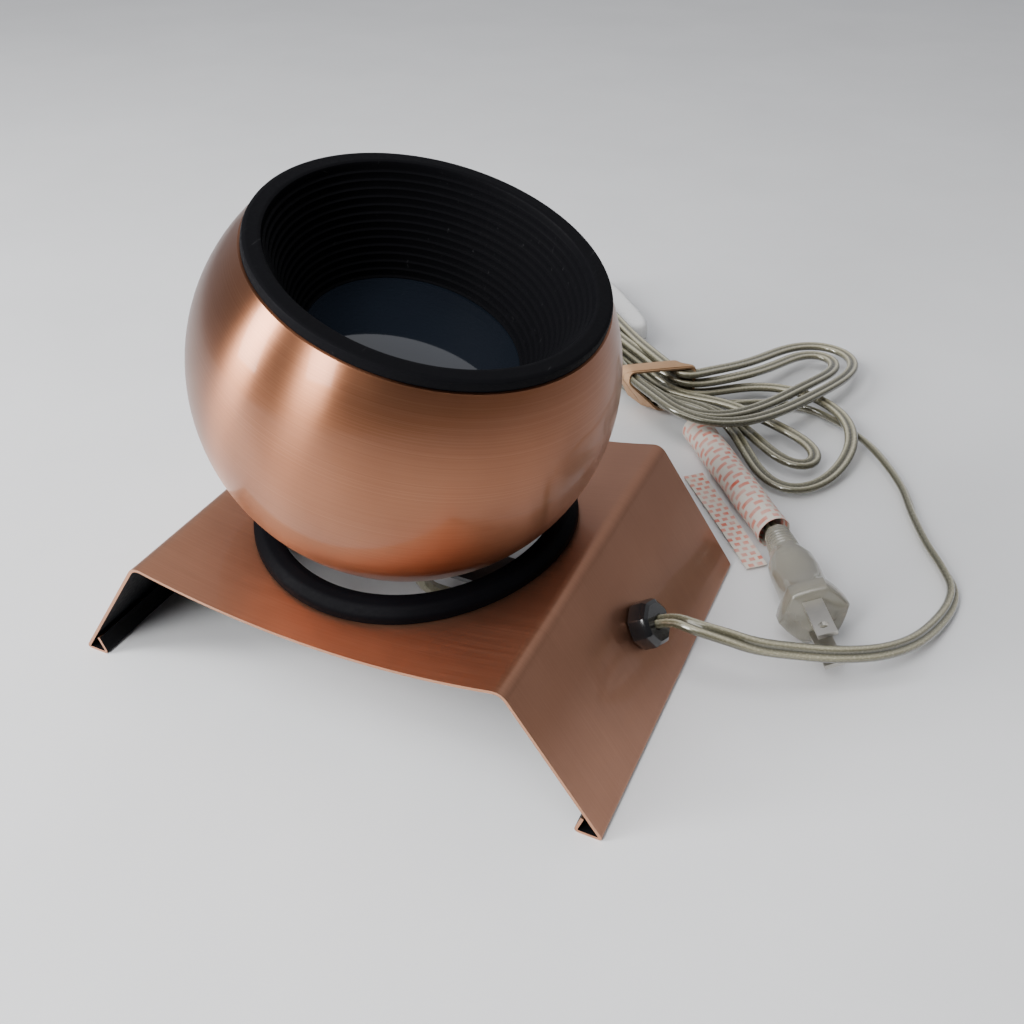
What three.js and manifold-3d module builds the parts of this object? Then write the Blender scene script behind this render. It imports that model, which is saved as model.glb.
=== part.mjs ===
// Eyeball accent lamp: a copper ball that tilts and turns in a ring on a bent-sheet stand, with its cord.
// Millimetres, +Z up, +X towards the leg that the cord leaves by, +Y to the back.
// The origin is at table level below the ball's centre.
import * as THREE from "three";
import { mergeVertices } from "three/addons/utils/BufferGeometryUtils.js";
import Module from "manifold-3d";

const wasm = await Module();
wasm.setup();

// ---- driving dimensions ----
const GAP = 0.3; // clearance between touching pieces

const SHEET = 1.0; // stand sheet thickness
const STAND_DEPTH = 131; // along Y
const FOLD_X = 61.5; // half width of the top
const FOLD_Z = 45; // height of the folds
const TOP_SAG = 7.2; // how far the top bows down between the folds
const FOOT_X = 92.5; // half width over the feet
const FLANGE = 8; // folded-in foot
const LIP = 6; // turned-up lip on the foot
const LIP_LEAN = 2; // how far the lip leans back to the leg
const FOLD_RADIUS = 3;
const FOOT_RADIUS = 1.4;
const HOLE_RADIUS = 46;

const RING_OUTER = 52.5;
const RING_CREST = 5.8; // above the top

const BALL_RADIUS = 63.5;
const BALL_WALL = 1.0;
const BALL_Z = 93.8;
const MOUTH_PLANE = 37.0; // shell edge, from the ball's centre
const TILT_REST = 18; // degrees, mouth from straight up
const TILT_MAX = 40;
const SWIVEL_REST = -11; // degrees about Z

const RIM_RADIUS = 51;
const RIM_PLANE = 40.3;
const RIM_INNER = 45.6;
const RIDGES = 14;
const LENS_PLANE = 8.5;
const LENS_RADIUS = 36;
const LENS_VIEW = 32; // radius seen through the baffle
const LENS_THICKNESS = 2.8;

const STRAP_Z = 24.9; // mid-plane of the cross strap
const STRAP_THICKNESS = 1.6;
const STRAP_WIDTH = 16;
const RIVET_X = 49.1;
const STEM_RADIUS = 5;
const STEM_BORE = 3.2;
const STEM_BOTTOM = 16.5;
const STEM_TOP = 42;
const SLOT_HALF = 5.4;

const CORD_RADIUS = 2.6;
const BUSHING_Z = 20.5; // height of the cord hole on the leg's outer face

// ---- helpers ----
const radians = THREE.MathUtils.degToRad;
const v2 = (x, y) => new THREE.Vector2(x, y);
const v3 = (x, y, z) => new THREE.Vector3(x, y, z);

const material = (color, roughness, metalness) =>
  new THREE.MeshStandardMaterial({ color, roughness, metalness });
const copper = material(0xb8704a, 0.35, 1);
const blackMetal = material(0x17171a, 0.5, 0.6);
const blackRubber = material(0x141416, 0.7, 0);
const blackPlastic = material(0x101012, 0.4, 0);
const steel = material(0xb9bcc0, 0.35, 1);
const brass = material(0xc9a45a, 0.35, 1);
const tintedGlass = material(0x1e222a, 0.08, 0);
const bulbGlass = material(0xe9e8e2, 0.2, 0);
const porcelain = material(0xe6e2d8, 0.3, 0);
const clearPlastic = material(0xb9b8a6, 0.2, 0);
const paper = material(0xe8e2d8, 0.8, 0);
const bandRubber = material(0xb98d63, 0.7, 0);
const whitePlastic = material(0xe8e8e6, 0.35, 0);

// A closed three.js geometry as a manifold-3d solid.
function toSolid(geometry) {
  const bare = geometry.clone();
  bare.deleteAttribute("normal");
  bare.deleteAttribute("uv");
  const merged = mergeVertices(bare, 1e-4);
  const corners = Array.from(merged.index.array);
  const kept = [];
  for (let i = 0; i < corners.length; i += 3) {
    const [a, b, c] = corners.slice(i, i + 3);
    if (a !== b && b !== c && c !== a) kept.push(a, b, c);
  }
  return new wasm.Manifold(
    new wasm.Mesh({
      numProp: 3,
      vertProperties: new Float32Array(merged.attributes.position.array),
      triVerts: new Uint32Array(kept),
    }),
  );
}

function toGeometry(solid) {
  const { vertProperties, triVerts } = solid.getMesh();
  const geometry = new THREE.BufferGeometry();
  geometry.setAttribute("position", new THREE.BufferAttribute(vertProperties, 3));
  geometry.setIndex(new THREE.BufferAttribute(triVerts, 1));
  geometry.computeVertexNormals();
  return geometry;
}

function cut(geometry, ...tools) {
  let solid = toSolid(geometry);
  for (const tool of tools) solid = solid.subtract(toSolid(tool));
  return toGeometry(solid);
}

function overlapOf(a, b) {
  return toGeometry(toSolid(a).intersect(toSolid(b)));
}

// A body of revolution about Z from [radius, height] points; a profile off the axis closes on itself.
function turned(profile, segments = 32) {
  const onAxis = profile[0][0] === 0;
  const loop = onAxis ? profile : [...profile, profile[0]];
  const area = loop.reduce((sum, [r, z], i) => {
    const [nextR, nextZ] = loop[(i + 1) % loop.length];
    return sum + r * nextZ - nextR * z;
  }, 0);
  const ordered = area < 0 ? [...loop].reverse() : loop;
  const geometry = new THREE.LatheGeometry(
    ordered.map(([r, z]) => v2(r, z)),
    segments,
  );
  return geometry.rotateX(Math.PI / 2);
}

function block(width, depth, height, x, y, z) {
  return new THREE.BoxGeometry(width, depth, height).translate(x, y, z);
}

function rod(radius, bottom, top, segments = 24) {
  return new THREE.CylinderGeometry(radius, radius, top - bottom, segments)
    .rotateX(Math.PI / 2)
    .translate(0, 0, (bottom + top) / 2);
}

function pipe(inner, outer, bottom, top, segments = 32) {
  return turned([[inner, bottom], [outer, bottom], [outer, top], [inner, top]], segments);
}

function hexNut(acrossFlats, bore, bottom, top) {
  const blank = rod(acrossFlats / Math.sqrt(3), bottom, top, 6);
  return cut(blank, rod(bore, bottom - 1, top + 1, 24));
}

// A polyline through the corners, each rounded by a quadratic of the given radius.
function roundedLine(corners, radius, steps = 4) {
  const path = new THREE.Path();
  path.moveTo(corners[0].x, corners[0].y);
  for (let i = 1; i < corners.length - 1; i++) {
    const here = corners[i];
    const before = corners[i - 1].clone().sub(here).setLength(radius).add(here);
    const after = corners[i + 1].clone().sub(here).setLength(radius).add(here);
    path.lineTo(before.x, before.y);
    path.quadraticCurveTo(here.x, here.y, after.x, after.y);
  }
  path.lineTo(corners.at(-1).x, corners.at(-1).y);
  return path.getPoints(steps);
}

// The closed outline of a strip of the given thickness whose middle follows the line.
function ribbon(line, thickness) {
  const sides = [[], []];
  line.forEach((point, i) => {
    const before = line[Math.max(i - 1, 0)];
    const after = line[Math.min(i + 1, line.length - 1)];
    const along = after.clone().sub(before).normalize();
    const across = v2(-along.y, along.x).multiplyScalar(thickness / 2);
    sides[0].push(point.clone().add(across));
    sides[1].unshift(point.clone().sub(across));
  });
  return new THREE.Shape([...sides[0], ...sides[1]]);
}

// An outline drawn in X and Z, extruded along Y about y = 0.
function extrudedAcross(shape, depth) {
  return new THREE.ExtrudeGeometry(shape, { depth, bevelEnabled: false })
    .rotateX(Math.PI / 2)
    .translate(0, depth / 2, 0);
}

function tube(points, radius, steps) {
  const curve = new THREE.CatmullRomCurve3(points, false, "centripetal");
  const section = new THREE.Shape();
  section.absarc(0, 0, radius, 0, 2 * Math.PI);
  return new THREE.ExtrudeGeometry(section, {
    steps,
    extrudePath: curve,
    curveSegments: 4,
    bevelEnabled: false,
  });
}

function add(group, name, geometry, surface) {
  const mesh = new THREE.Mesh(geometry, surface);
  mesh.name = name;
  group.add(mesh);
  return mesh;
}

// ---- stand ----
const topZ = (x) => FOLD_Z - TOP_SAG * (1 - (x / FOLD_X) ** 2);

const legSlope = v2(FOOT_X - FOLD_X, -FOLD_Z).normalize();
const legNormal = v3(-legSlope.y, 0, legSlope.x);
const bushingX = FOLD_X + ((FOLD_Z - BUSHING_Z) * (FOOT_X - FOLD_X)) / FOLD_Z;
const bushingSeat = v3(bushingX, 0, BUSHING_Z);

// Turns a geometry built about Z so that Z points out of the right leg at the cord hole.
function atBushing(geometry) {
  const turn = new THREE.Quaternion().setFromUnitVectors(v3(0, 0, 1), legNormal);
  return geometry.applyQuaternion(turn).translate(...bushingSeat.toArray());
}

function standLine() {
  const half = SHEET / 2;
  const inset = half / Math.cos(Math.atan2(FOOT_X - FOLD_X, FOLD_Z));
  const footX = FOOT_X - inset - 0.35;
  const fold = v2(FOLD_X - 0.45, FOLD_Z - 0.62);
  const right = [
    v2(footX - FLANGE + LIP_LEAN, half + LIP),
    v2(footX - FLANGE, half),
    v2(footX, half),
  ];
  const crown = [];
  for (let x = FOLD_X - 7; x >= 0; x -= 6.8) crown.push(v2(x, topZ(x) - half));
  const foot = roundedLine([...right, fold], FOOT_RADIUS, 3).slice(0, -1);
  const bend = roundedLine([right[2], fold, crown[0]], FOLD_RADIUS, 5).slice(1);
  const rightSide = [...foot, ...bend, ...crown.slice(1)];
  const leftSide = rightSide.map((p) => v2(-p.x, p.y)).reverse();
  return [...rightSide, ...leftSide];
}

function buildStandSheet() {
  const sheet = extrudedAcross(ribbon(standLine(), SHEET), STAND_DEPTH);
  const hole = rod(HOLE_RADIUS, FOLD_Z - 20, FOLD_Z + 5, 56);
  const cordHole = atBushing(rod(6.4, -4, 4, 24));
  const rivetHoles = [-1, 1].map((side) =>
    rod(1.8, FOLD_Z - 15, FOLD_Z + 5, 12).translate(side * RIVET_X, 0, 0),
  );
  return cut(sheet, hole, cordHole, ...rivetHoles);
}

// The ring's half-round bead lies on the top; its skirt passes through the hole and hooks under the edge.
function buildTrimRing() {
  const crest = RING_CREST;
  const profile = [
    [RING_OUTER, GAP],
    [RING_OUTER - 0.1, 1.6],
    [RING_OUTER - 1.0, 3.6],
    [RING_OUTER - 2.8, 5.2],
    [RING_OUTER - 5.0, crest],
    [RING_OUTER - 6.8, crest - 0.1],
    [RING_OUTER - 7.7, crest - 1.1],
    [RING_OUTER - 8.0, -2.9],
    [HOLE_RADIUS + 1.2, -2.9],
    [HOLE_RADIUS + 1.2, -SHEET - GAP],
    [HOLE_RADIUS - 0.35, -SHEET - GAP],
    [HOLE_RADIUS - 0.35, GAP],
    [HOLE_RADIUS + 0.4, GAP],
    [HOLE_RADIUS + 0.6, 3.4],
    [RING_OUTER - 1.6, 2.9],
    [RING_OUTER - 0.9, GAP],
  ];
  const ring = turned(profile, 48);
  const places = ring.getAttribute("position");
  for (let i = 0; i < places.count; i++) {
    places.setZ(i, places.getZ(i) + topZ(places.getX(i)));
  }
  const notches = [-1, 1].map((side) =>
    block(10, STRAP_WIDTH + 1.2, 8, side * (RIVET_X - 4), 0, topZ(RIVET_X) - SHEET - 4),
  );
  return cut(ring, ...notches);
}

// A flat bar, joggled down under the hole, riveted up to the sheet at both ends.
function buildHangerStrap() {
  const endZ = (x) => topZ(x) - SHEET - GAP - STRAP_THICKNESS / 2;
  const half = [v2(54, endZ(54)), v2(45.5, endZ(45.5)), v2(36, STRAP_Z)];
  const other = half.map((p) => v2(-p.x, p.y)).reverse();
  const line = roundedLine([...half, ...other], 2.2, 3);
  const bar = extrudedAcross(ribbon(line, STRAP_THICKNESS), STRAP_WIDTH);
  const rivetHoles = [-1, 1].map((side) =>
    rod(1.8, STRAP_Z + 4, FOLD_Z + 5, 12).translate(side * RIVET_X, 0, 0),
  );
  return cut(bar, rod(STEM_RADIUS + GAP, STRAP_Z - 5, STRAP_Z + 5, 24), ...rivetHoles);
}

// A rivet from its head on the sheet, inside the ring's hollow, to its tail under the strap.
function buildRivet(side) {
  const z = topZ(RIVET_X);
  const profile = [
    [0, z + 0.8],
    [2.3, z + 0.8],
    [1.7, z + 2.0],
    [0, z + 2.2],
  ];
  const tail = z - SHEET - STRAP_THICKNESS - 2 * GAP - 0.7;
  const head = turned(profile, 12);
  const shank = rod(1.5, tail - 0.2, z + 1.2, 12);
  const foot = rod(2.5, tail - 1.2, tail, 12);
  const whole = toSolid(head).add(toSolid(shank)).add(toSolid(foot));
  return toGeometry(whole).translate(side * RIVET_X, 0, 0);
}

// The bushing's eight-sided head stands on the leg, its neck fills the hole and its tail locks inside.
function buildStrainRelief() {
  const bore = CORD_RADIUS + GAP;
  const tail = turned([[bore, -8.5], [5.6, -8.5], [7.0, -6.5], [7.0, -SHEET - GAP],
    [6.1, -SHEET - GAP], [6.1, GAP], [7.6, GAP], [7.9, 1.2], [7.6, 5.6], [6.4, 7.0], [bore, 7.0]], 16);
  return atBushing(tail);
}

const lamp = new THREE.Group();
const stand = new THREE.Group();
lamp.add(stand);
add(stand, "stand_sheet", buildStandSheet(), copper);
add(stand, "trim_ring", buildTrimRing(), blackRubber);
add(stand, "hanger_strap", buildHangerStrap(), blackMetal);
add(stand, "strap_rivet_left", buildRivet(-1), steel);
add(stand, "strap_rivet_right", buildRivet(1), steel);
add(stand, "strain_relief", buildStrainRelief(), blackPlastic);

// ---- stem, saddles and lampholder: they turn about Z in the strap ----
const swivel = new THREE.Group();
swivel.rotation.z = radians(SWIVEL_REST);
lamp.add(swivel);

const strapTop = STRAP_Z + STRAP_THICKNESS / 2;
const strapBottom = STRAP_Z - STRAP_THICKNESS / 2;
const stemClear = STEM_RADIUS + GAP;
const saddleTop = BALL_RADIUS + GAP; // radius of the outer saddle's seat
const saddleFace = BALL_RADIUS - BALL_WALL - 0.5; // radius of the inner saddle's seat
const seatZ = (r, radius) => BALL_Z - Math.sqrt(radius ** 2 - r ** 2);

function buildOuterSaddle() {
  const bottom = strapTop + GAP + 1.0 + GAP;
  const profile = [[stemClear, bottom], [9, bottom], [13.5, bottom + 2.2]];
  for (const r of [13.5, 11, 8, stemClear]) profile.push([r, seatZ(r, saddleTop)]);
  return turned(profile, 24);
}

// A strip bent to the inside of the ball, long enough to cover the slot at every tilt.
function buildInnerSaddle() {
  const reach = radians(45);
  const strip = new THREE.Shape();
  strip.absarc(0, 0, saddleFace, -Math.PI / 2 - reach, -Math.PI / 2 + reach, false);
  strip.absarc(0, 0, saddleFace - 1.2, -Math.PI / 2 + reach, -Math.PI / 2 - reach, true);
  const long = new THREE.ExtrudeGeometry(strip, { depth: 17, bevelEnabled: false, curveSegments: 22 })
    .rotateX(Math.PI / 2)
    .translate(0, 8.5, BALL_Z);
  const dome = turned([[0, -saddleFace], ...sphereArc(saddleFace, 180, 60, 14), [0, 0]], 48)
    .translate(0, 0, BALL_Z);
  return cut(overlapOf(long, dome), rod(stemClear, 20, 60, 24));
}

// [radius, height] points on a circle about the ball's centre, at angles in degrees from the mouth's axis.
function sphereArc(radius, from, to, steps) {
  const points = [];
  for (let i = 0; i <= steps; i++) {
    const angle = radians(from + ((to - from) * i) / steps);
    const r = i === 0 && from === 180 ? 0 : radius * Math.sin(angle);
    points.push([r, radius * Math.cos(angle)]);
  }
  return points;
}

const collarBottom = strapTop + GAP;
const nutTop = strapBottom - 2 * GAP - 1.0;
const saddleNutBottom = BALL_Z - saddleFace + 1.2 + GAP;
add(swivel, "stem_nipple", pipe(STEM_BORE, STEM_RADIUS, STEM_BOTTOM, STEM_TOP, 24), brass);
add(swivel, "stem_lead", rod(CORD_RADIUS, STEM_BOTTOM + 0.5, STEM_TOP - 0.5, 12), clearPlastic);
add(swivel, "swivel_nut", hexNut(14, stemClear, nutTop - 4, nutTop), steel);
add(swivel, "swivel_washer_lower", pipe(stemClear, 10.5, nutTop + GAP, nutTop + GAP + 1.0, 24), steel);
add(swivel, "swivel_washer_upper", pipe(stemClear, 10.5, collarBottom, collarBottom + 1.0, 24), blackRubber);
add(swivel, "outer_saddle", buildOuterSaddle(), blackPlastic);
add(swivel, "inner_saddle", buildInnerSaddle(), blackMetal);
add(swivel, "saddle_nut", hexNut(14, stemClear, saddleNutBottom + 0.5, saddleNutBottom + 4), steel);

const HOLDER_BOTTOM = 38.8;
const HOLDER_FLOOR = 44.5;
const HOLDER_TOP = 66;
const HOLDER_RADIUS = 11;
const HOLDER_BORE = 7.2;
const CAP_RADIUS = 5.95; // candelabra screw cap
const BULB_RADIUS = 9.5;
const BULB_TOP = 91.5;

function buildHolderBody() {
  return turned([
    [stemClear, HOLDER_BOTTOM],
    [HOLDER_RADIUS - 1.5, HOLDER_BOTTOM],
    [HOLDER_RADIUS, HOLDER_BOTTOM + 2],
    [HOLDER_RADIUS, HOLDER_TOP],
    [HOLDER_BORE, HOLDER_TOP],
    [HOLDER_BORE, HOLDER_FLOOR],
    [1.2, HOLDER_FLOOR],
    [1.2, STEM_TOP + GAP],
    [stemClear, STEM_TOP + GAP],
  ], 24);
}

function buildBulbCap() {
  const bottom = HOLDER_FLOOR + 2.4;
  return turned([
    [0, bottom],
    [2.2, bottom + 0.2],
    [3.0, bottom + 1.6],
    [CAP_RADIUS, bottom + 4.5],
    [CAP_RADIUS, HOLDER_TOP - 0.5],
    [0, HOLDER_TOP - 0.5],
  ], 20);
}

function buildBulbGlass() {
  const bottom = HOLDER_TOP - 0.2;
  return turned([
    [0, bottom],
    [4.6, bottom],
    [5.4, bottom + 3],
    [BULB_RADIUS - 0.7, bottom + 8],
    [BULB_RADIUS, bottom + 12],
    [BULB_RADIUS, BULB_TOP - 8],
    [BULB_RADIUS - 1.6, BULB_TOP - 3.6],
    [BULB_RADIUS - 5, BULB_TOP - 0.7],
    [0, BULB_TOP],
  ], 20);
}

add(swivel, "lampholder_body", buildHolderBody(), porcelain);
add(swivel, "lampholder_shell", pipe(6.35, 6.8, HOLDER_FLOOR + GAP, HOLDER_TOP - 1.5, 20), brass);
add(swivel, "lampholder_contact", rod(2.8, HOLDER_FLOOR + GAP, HOLDER_FLOOR + 1.8, 12), brass);
add(swivel, "bulb_cap", buildBulbCap(), brass);
add(swivel, "bulb_glass", buildBulbGlass(), bulbGlass);

// ---- ball: it tilts about Y through its own centre; the mouth's axis is its Z ----
const ball = new THREE.Group();
ball.position.z = BALL_Z;
ball.rotation.y = radians(TILT_REST);
swivel.add(ball);

const mouthAngle = (radius) => THREE.MathUtils.radToDeg(Math.acos(MOUTH_PLANE / radius));

// The slot that the stem passes through, from the bottom of the ball towards its leaning side.
function slotTool() {
  const bottom = -Math.PI / 2;
  const end = bottom + radians(TILT_MAX);
  const sector = new THREE.Shape();
  sector.absarc(0, 0, BALL_RADIUS + 4, bottom, end, false);
  sector.absarc(0, 0, BALL_RADIUS - 6, end, bottom, true);
  const middle = new THREE.ExtrudeGeometry(sector, {
    depth: 2 * SLOT_HALF,
    bevelEnabled: false,
    curveSegments: 10,
  })
    .rotateX(Math.PI / 2)
    .translate(0, SLOT_HALF, 0);
  const ends = [0, TILT_MAX].map((angle) =>
    rod(SLOT_HALF, -BALL_RADIUS - 4, -BALL_RADIUS + 6, 16).rotateY(-radians(angle)),
  );
  return [middle, ...ends];
}

function buildBallShell() {
  const outer = sphereArc(BALL_RADIUS, 180, mouthAngle(BALL_RADIUS), 16);
  const inner = sphereArc(BALL_RADIUS - BALL_WALL, 180, mouthAngle(BALL_RADIUS - BALL_WALL), 16);
  return cut(turned([...outer, ...inner.reverse()], 44), ...slotTool());
}

// A flat rim on the shell's edge, then a cone of stepped ridges down to the glass.
function buildBaffle() {
  const bottom = LENS_PLANE + GAP;
  const ridgeDepth = (RIM_PLANE - 0.8 - bottom) / RIDGES;
  const ridgeStep = (RIM_INNER - LENS_VIEW) / RIDGES;
  const steps = [];
  for (let i = 0; i < RIDGES; i++) {
    const r = RIM_INNER - ridgeStep * i;
    steps.push([r, RIM_PLANE - 0.8 - ridgeDepth * i], [r, RIM_PLANE - 0.8 - ridgeDepth * (i + 1)]);
  }
  return turned([
    [RIM_INNER + 0.6, RIM_PLANE],
    ...steps,
    [LENS_RADIUS + GAP, bottom],
    [LENS_RADIUS + GAP, bottom - 6],
    [LENS_RADIUS + 1.6, bottom - 6],
    [LENS_RADIUS + 1.8, bottom + 2],
    [RIM_RADIUS - 2.8, MOUTH_PLANE - 4],
    [RIM_RADIUS - 2.4, MOUTH_PLANE + GAP],
    [RIM_RADIUS, MOUTH_PLANE + GAP],
    [RIM_RADIUS, RIM_PLANE - 0.8],
    [RIM_RADIUS - 0.8, RIM_PLANE],
  ], 36);
}

const lensBack = LENS_PLANE - LENS_THICKNESS;
add(ball, "ball_shell", buildBallShell(), copper);
add(ball, "baffle", buildBaffle(), blackPlastic);
add(ball, "lens", rod(LENS_RADIUS, lensBack, LENS_PLANE, 40), tintedGlass);
add(ball, "lens_retainer", pipe(LENS_RADIUS - 2.2, LENS_RADIUS - 0.1, lensBack - 1.6, lensBack - GAP, 40), steel);

// ---- cord: a twin flex from the stem, out through the bushing, along the table and into a tied hank ----
const cords = new THREE.Group();
lamp.add(cords);

const alongLeg = (distance) => bushingSeat.clone().addScaledVector(legNormal, distance);

const innerRoute = [
  v3(0, 0, STEM_BOTTOM - 0.4),
  v3(0, 0, 12),
  v3(2.2, 2, 7.2),
  v3(8, 4.5, 4.4),
  v3(18, 6, 3.4),
  v3(32, 6, 3.4),
  v3(46, 4, 4.4),
  v3(57, 1.2, 7.4),
  v3(65, 0, 11.2),
  alongLeg(-8.9),
];

const freeRoute = [
  alongLeg(7.4),
  v3(89.6, -0.4, 27.2),
  v3(96, -1.2, 27.6),
  v3(105.6, 0.8, 25.6),
  v3(113.8, 4, 22.6),
  v3(125.6, 11.3, 18.6),
  v3(137.6, 18.4, 16),
  v3(149.2, 29.7, 12),
  v3(157.6, 43.2, 8),
  v3(163.5, 59, 4.8),
  v3(166.7, 73.5, 3.2),
  v3(166.4, 83, 3),
  v3(161.6, 93.5, 3),
  v3(155.3, 104.4, 3),
  v3(148.1, 120.2, 3),
  v3(141.3, 137.6, 3.4),
  v3(132.6, 151.2, 4.5),
  v3(124.6, 160.4, 5.6),
];

// The hank's left arm runs back from the band; "right" is its side away from the ball.
const BAND = v2(36, 150);
const armAlong = v2(Math.cos(radians(132)), Math.sin(radians(132)));
const armRight = v2(armAlong.y, -armAlong.x);
const arm = (along, right) =>
  BAND.clone().addScaledVector(armAlong, along).addScaledVector(armRight, right);

const HANK_BOTTOM = 2;
const HANK_TOP = 22;

const hankOutline = [
  arm(0, -14),
  arm(70, -15),
  arm(128, -15),
  arm(141, -4),
  arm(141, 12),
  arm(133, 23),
  arm(121, 23),
  arm(121, 2),
  arm(61, 2),
  arm(61, 17),
  arm(-1, 16),
  v2(80, 240),
  v2(97, 241),
  v2(107, 226),
  v2(120, 178),
  v2(120, 148),
  v2(110, 118),
  v2(96, 115),
  v2(67, 151),
  v2(52, 150),
  v2(44, 138),
];

function buildHank() {
  const closed = [...hankOutline, hankOutline[0], hankOutline[1]];
  const line = roundedLine(closed, 4, 3).slice(1, -1);
  const outline = new THREE.Shape(line);
  return new THREE.ExtrudeGeometry(outline, { depth: HANK_TOP - HANK_BOTTOM, bevelEnabled: false })
    .translate(0, 0, HANK_BOTTOM);
}

// A flat band round the arm, next to where the loops leave it.
function buildBand() {
  const [low, high] = [-14.9, 17.4];
  const middle = (low + high) / 2;
  const height = HANK_TOP + HANK_BOTTOM;
  const outside = block(9, high - low + 2.6, height - 0.6, 0, 0, height / 2);
  const inside = block(12, high - low, height - 3.2, 0, 0, height / 2);
  const centre = arm(6.5, middle);
  return cut(outside, inside)
    .rotateZ(Math.atan2(armAlong.y, armAlong.x))
    .translate(centre.x, centre.y, 0);
}

// The rolled tag lies on the cord's last stretch, with its flat part beside it.
const SLEEVE_Z = 7.2;
const sleeveStart = v3(55, 141.7, SLEEVE_Z);
const sleeveEnd = v3(102.5, 83.4, SLEEVE_Z);
const sleeveAlong = sleeveEnd.clone().sub(sleeveStart);
const SLEEVE_LENGTH = sleeveAlong.length();
sleeveAlong.normalize();
const sleeveSide = v3(sleeveAlong.y, -sleeveAlong.x, 0); // towards the stand

// Moves a geometry built along +Z so that it runs from a point in a direction.
function pointed(geometry, from, direction) {
  const turn = new THREE.Quaternion().setFromUnitVectors(v3(0, 0, 1), direction);
  return geometry.applyQuaternion(turn).translate(...from.toArray());
}

function buildTagFlat() {
  const flap = block(61, 8, 0.8, 0, 0, 1.4).rotateZ(Math.atan2(sleeveAlong.y, sleeveAlong.x));
  const middle = sleeveStart.clone().addScaledVector(sleeveAlong, 55.5).addScaledVector(sleeveSide, 11.3);
  return flap.translate(middle.x, middle.y, 0);
}

// The plug lies on its flange, its tail in line with the sleeve.
const PLUG_LENGTH = 51;
const BLADE_LENGTH = 17.5;
const BLADE_SPACING = 12.7;
const plugTail = v3(103.4, 82.2, 7.6);
const plugFace = v3(126.5, 36.9, 12.4);
const plugAlong = plugFace.clone().sub(plugTail).normalize();

function buildPlugBody() {
  const profile = [
    [0, 0],
    [4.4, 0],
    [5.2, 12],
    [8.4, 20],
    [8.8, PLUG_LENGTH - 9],
    [11.8, PLUG_LENGTH - 6],
    [11.8, PLUG_LENGTH - 1],
    [11.0, PLUG_LENGTH],
    [0, PLUG_LENGTH],
  ];
  return pointed(turned(profile, 12), plugTail, plugAlong);
}

function buildBlade(side) {
  const blank = block(6.35, 1.5, BLADE_LENGTH, 0, 0, BLADE_LENGTH / 2);
  const hole = rod(1.6, -3, 3, 12).rotateX(Math.PI / 2).translate(0, 0, BLADE_LENGTH - 4.5);
  const blade = cut(blank, hole)
    .translate(0, (side * BLADE_SPACING) / 2, PLUG_LENGTH + GAP)
    .rotateZ(radians(45));
  return pointed(blade, plugTail, plugAlong);
}

const tailRoute = [
  v3(51.4, 147.2, SLEEVE_Z + 0.4),
  sleeveStart.clone(),
  sleeveStart.clone().lerp(sleeveEnd, 0.5),
  sleeveEnd.clone().addScaledVector(sleeveAlong, -2),
  plugTail.clone().addScaledVector(plugAlong, -0.8),
];

add(cords, "inner_lead", tube(innerRoute, CORD_RADIUS, 36), clearPlastic);
add(cords, "cord_free", tube(freeRoute, CORD_RADIUS, 60), clearPlastic);
add(cords, "cord_hank", buildHank(), clearPlastic);
add(cords, "cord_tail", tube(tailRoute, CORD_RADIUS, 18), clearPlastic);
add(cords, "hank_band", buildBand(), bandRubber);
add(cords, "tag_sleeve", pointed(pipe(6.1, 6.8, 0, SLEEVE_LENGTH, 16), sleeveStart, sleeveAlong), paper);
add(cords, "tag_flat", buildTagFlat(), paper);
add(cords, "plug_body", buildPlugBody(), clearPlastic);
add(cords, "plug_blade_near", buildBlade(1), steel);
add(cords, "plug_blade_far", buildBlade(-1), steel);

// ---- in-line switch: two halves round a thumb wheel that stands proud of both sides ----
const SWITCH_LENGTH = 58;
const SWITCH_WIDTH = 20;
const SWITCH_TOP = 16;
const SWITCH_SPLIT = 8;
const WHEEL_RADIUS = 11;
const WHEEL_LOW = 6;
const WHEEL_HIGH = 10;
const switchPlace = arm(91, 13);

const cordSwitch = new THREE.Group();
cordSwitch.position.set(switchPlace.x, switchPlace.y, 0);
cordSwitch.rotation.z = Math.atan2(armAlong.y, armAlong.x);
cords.add(cordSwitch);

function buildSwitchHalf(bottom, top) {
  const outline = new THREE.Shape();
  const [x, y, corner] = [SWITCH_LENGTH / 2, SWITCH_WIDTH / 2, 6];
  outline.absarc(x - corner, y - corner, corner, 0, Math.PI / 2);
  outline.absarc(-x + corner, y - corner, corner, Math.PI / 2, Math.PI);
  outline.absarc(-x + corner, -y + corner, corner, Math.PI, 1.5 * Math.PI);
  outline.absarc(x - corner, -y + corner, corner, 1.5 * Math.PI, 2 * Math.PI);
  const half = new THREE.ExtrudeGeometry(outline, {
    depth: top - bottom,
    bevelEnabled: false,
    curveSegments: 5,
  }).translate(0, 0, bottom);
  return cut(half, rod(WHEEL_RADIUS + 0.4, WHEEL_LOW - GAP, WHEEL_HIGH + GAP, 32));
}

add(cordSwitch, "switch_base", buildSwitchHalf(GAP, SWITCH_SPLIT), whitePlastic);
add(cordSwitch, "switch_cover", buildSwitchHalf(SWITCH_SPLIT + GAP, SWITCH_TOP), whitePlastic);
add(cordSwitch, "switch_wheel", rod(WHEEL_RADIUS, WHEEL_LOW, WHEEL_HIGH, 24), whitePlastic);

export default lamp;
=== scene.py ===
"""Eyeball accent lamp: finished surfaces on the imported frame. Metres, in the frame of the CAD."""

import math

import bmesh
import bpy
from mathutils import Matrix, Quaternion, Vector


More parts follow.
